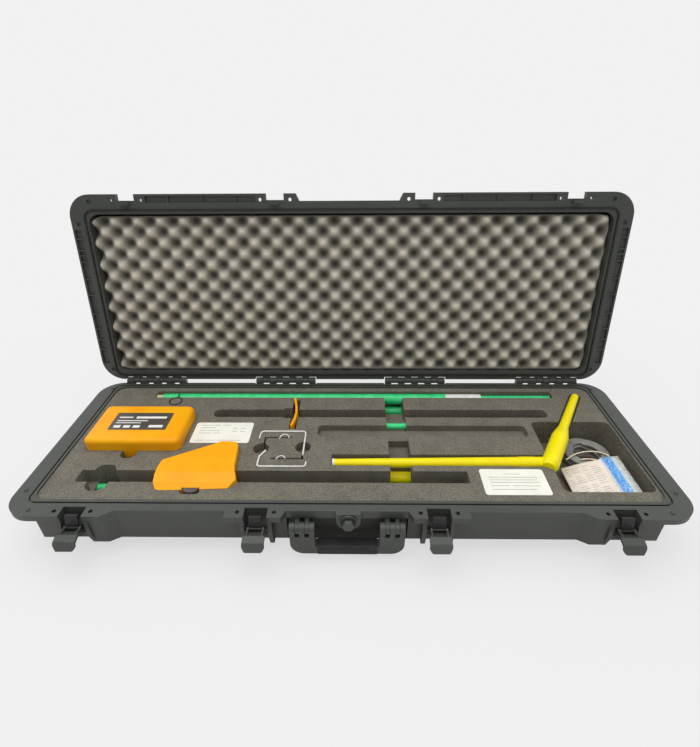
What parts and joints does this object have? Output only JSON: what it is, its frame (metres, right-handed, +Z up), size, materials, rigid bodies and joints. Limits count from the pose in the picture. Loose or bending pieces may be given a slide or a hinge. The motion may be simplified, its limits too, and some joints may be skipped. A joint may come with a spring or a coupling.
{
  "type": "circuit finder kit in a long hard case",
  "caption": "Open long hard case with foam layers holding an orange sender and receiver, a yellow elbow probe, green rods and leads.",
  "frame": {"origin": "centre of the case's underside, on the ground", "axes": "+X to the right along the case, +Y to the hinges at the back, +Z up"},
  "size_m": [1.19, 0.5811, 0.5223],
  "materials": {
    "case_plastic": "moulded, fine texture",
    "hook_plastic": "smooth",
    "foam": "closed-cell foam",
    "black_rubber": "matt",
    "steel": "satin",
    "orange_plastic": "satin gloss",
    "dark_plastic": "matt",
    "dark_label": "printed film",
    "board": "circuit board",
    "white_coated_wire": "coated wire",
    "green_plastic": "glass-fibre rod",
    "white_band": "sleeve",
    "beige_tip": "smooth",
    "wire_steel": "bent wire",
    "yellow_plastic": "smooth",
    "label_paper": "printed label",
    "paper": "printed leaflet",
    "film": "clear film over a blue panel",
    "grey_cable": "cable jacket",
    "cream_cord": "twisted cord"
  },
  "bodies": {
    "base": {"base_shell": "case_plastic", "foam_upper": "foam", "foam_lower": "foam", "green_rod_2": "green_plastic", "green_rod_3": "green_plastic", "green_rod_4": "green_plastic", "yellow_rod_2": "yellow_plastic", "label_left": "label_paper", "label_right": "label_paper", "hinge_pin_1": "steel", "hinge_pin_2": "steel", "hinge_pin_3": "steel", "hinge_pin_4": "steel", "handle_pin_1": "steel", "handle_pin_2": "steel", "valve_body": "case_plastic", "valve_seal": "black_rubber", "lead_coil": "grey_cable", "lead_plug_1": "dark_plastic", "lead_plug_2": "dark_plastic", "pull_cord": "cream_cord"},
    "lid": {"lid_shell": "case_plastic", "lid_foam": "foam", "lid_seal": "black_rubber"},
    "handle": {"handle_frame": "case_plastic", "handle_grip": "black_rubber"},
    "valve": {"valve_knob": "case_plastic"},
    "latch_1": {"latch_lever_1": "case_plastic"},
    "hook_1": {"latch_hook_1": "hook_plastic"},
    "latch_2": {"latch_lever_2": "case_plastic"},
    "hook_2": {"latch_hook_2": "hook_plastic"},
    "latch_3": {"latch_lever_3": "case_plastic"},
    "hook_3": {"latch_hook_3": "hook_plastic"},
    "latch_4": {"latch_lever_4": "case_plastic"},
    "hook_4": {"latch_hook_4": "hook_plastic"},
    "sender": {"sender_lower_case": "orange_plastic", "sender_upper_case": "orange_plastic", "sender_board": "board", "sender_battery": "dark_plastic", "sender_label": "dark_label"},
    "receiver": {"receiver_lower_case": "orange_plastic", "receiver_upper_case": "orange_plastic", "receiver_board": "board", "receiver_battery": "dark_plastic"},
    "wheel": {"receiver_wheel": "dark_plastic"},
    "clip": {"clip_plate": "orange_plastic"},
    "rear_frame": {"frame_rear": "white_coated_wire"},
    "front_frame": {"frame_front": "white_coated_wire"},
    "rod": {"green_rod_tip": "beige_tip", "green_rod": "green_plastic", "green_rod_band": "white_band", "green_rod_thin": "green_plastic", "rod_loop": "wire_steel"},
    "probe": {"probe_pole": "yellow_plastic", "probe_cap": "white_band", "probe_sleeve": "yellow_plastic", "probe_head": "yellow_plastic", "probe_arm": "yellow_plastic"},
    "paper": {"leaflet": "paper"},
    "pouch": {"bag": "film"}
  },
  "joints": [
    {"name": "lid_hinge", "type": "hinge", "parent": "base", "child": "lid", "pos_m": [0, 0.2134, 0.1052], "axis": [1, 0, 0], "range_deg": [0, 99.74]},
    {"name": "handle_swing", "type": "hinge", "parent": "base", "child": "handle", "pos_m": [0, -0.207, 0.072], "axis": [1, 0, 0], "range_deg": [-95, 0]},
    {"name": "valve_turn", "type": "hinge", "parent": "base", "child": "valve", "pos_m": [0.002, -0.209, 0.084], "axis": [0, -1, 0], "range_deg": [0, 90]},
    {"name": "latch_1_turn", "type": "hinge", "parent": "base", "child": "latch_1", "pos_m": [-0.471, -0.2055, 0.062], "axis": [1, 0, 0], "range_deg": [-62, 0]},
    {"name": "hook_1_turn", "type": "hinge", "parent": "latch_1", "child": "hook_1", "pos_m": [-0.471, -0.2107, 0.074], "axis": [1, 0, 0], "range_deg": [0, 80]},
    {"name": "latch_2_turn", "type": "hinge", "parent": "base", "child": "latch_2", "pos_m": [-0.156, -0.2055, 0.062], "axis": [1, 0, 0], "range_deg": [-62, 0]},
    {"name": "hook_2_turn", "type": "hinge", "parent": "latch_2", "child": "hook_2", "pos_m": [-0.156, -0.2107, 0.074], "axis": [1, 0, 0], "range_deg": [0, 80]},
    {"name": "latch_3_turn", "type": "hinge", "parent": "base", "child": "latch_3", "pos_m": [0.156, -0.2055, 0.062], "axis": [1, 0, 0], "range_deg": [-62, 0]},
    {"name": "hook_3_turn", "type": "hinge", "parent": "latch_3", "child": "hook_3", "pos_m": [0.156, -0.2107, 0.074], "axis": [1, 0, 0], "range_deg": [0, 80]},
    {"name": "latch_4_turn", "type": "hinge", "parent": "base", "child": "latch_4", "pos_m": [0.471, -0.2055, 0.062], "axis": [1, 0, 0], "range_deg": [-62, 0]},
    {"name": "hook_4_turn", "type": "hinge", "parent": "latch_4", "child": "hook_4", "pos_m": [0.471, -0.2107, 0.074], "axis": [1, 0, 0], "range_deg": [0, 80]},
    {"name": "sender_lift", "type": "slide", "parent": "base", "child": "sender", "axis": [0, 0, -1], "range_m": [-0.07, 0]},
    {"name": "receiver_lift", "type": "slide", "parent": "base", "child": "receiver", "axis": [0, 0, -1], "range_m": [-0.06, 0]},
    {"name": "wheel_turn", "type": "hinge", "parent": "receiver", "child": "wheel", "pos_m": [-0.285, -0.134, 0.089], "axis": [0, 0, 1], "range_deg": [0, 270]},
    {"name": "clip_lift", "type": "slide", "parent": "base", "child": "clip", "axis": [0, 0, -1], "range_m": [-0.06, 0]},
    {"name": "rear_frame_lift", "type": "slide", "parent": "base", "child": "rear_frame", "axis": [0, 0, -1], "range_m": [-0.04, 0]},
    {"name": "front_frame_lift", "type": "slide", "parent": "base", "child": "front_frame", "axis": [0, 0, -1], "range_m": [-0.04, 0]},
    {"name": "rod_lift", "type": "slide", "parent": "base", "child": "rod", "axis": [0, 0, -1], "range_m": [-0.06, 0]},
    {"name": "probe_lift", "type": "slide", "parent": "base", "child": "probe", "axis": [0, 0, -1], "range_m": [-0.06, 0]},
    {"name": "paper_lift", "type": "slide", "parent": "base", "child": "paper", "axis": [0, 0, -1], "range_m": [-0.09, 0]},
    {"name": "pouch_lift", "type": "slide", "parent": "base", "child": "pouch", "axis": [0, 0, -1], "range_m": [-0.09, 0]}
  ],
  "couplings": [
    {"joint": "hook_1_turn", "follows": "latch_1_turn", "ratio": -1.2903},
    {"joint": "hook_2_turn", "follows": "latch_2_turn", "ratio": -1.2903},
    {"joint": "hook_3_turn", "follows": "latch_3_turn", "ratio": -1.2903},
    {"joint": "hook_4_turn", "follows": "latch_4_turn", "ratio": -1.2903}
  ]
}
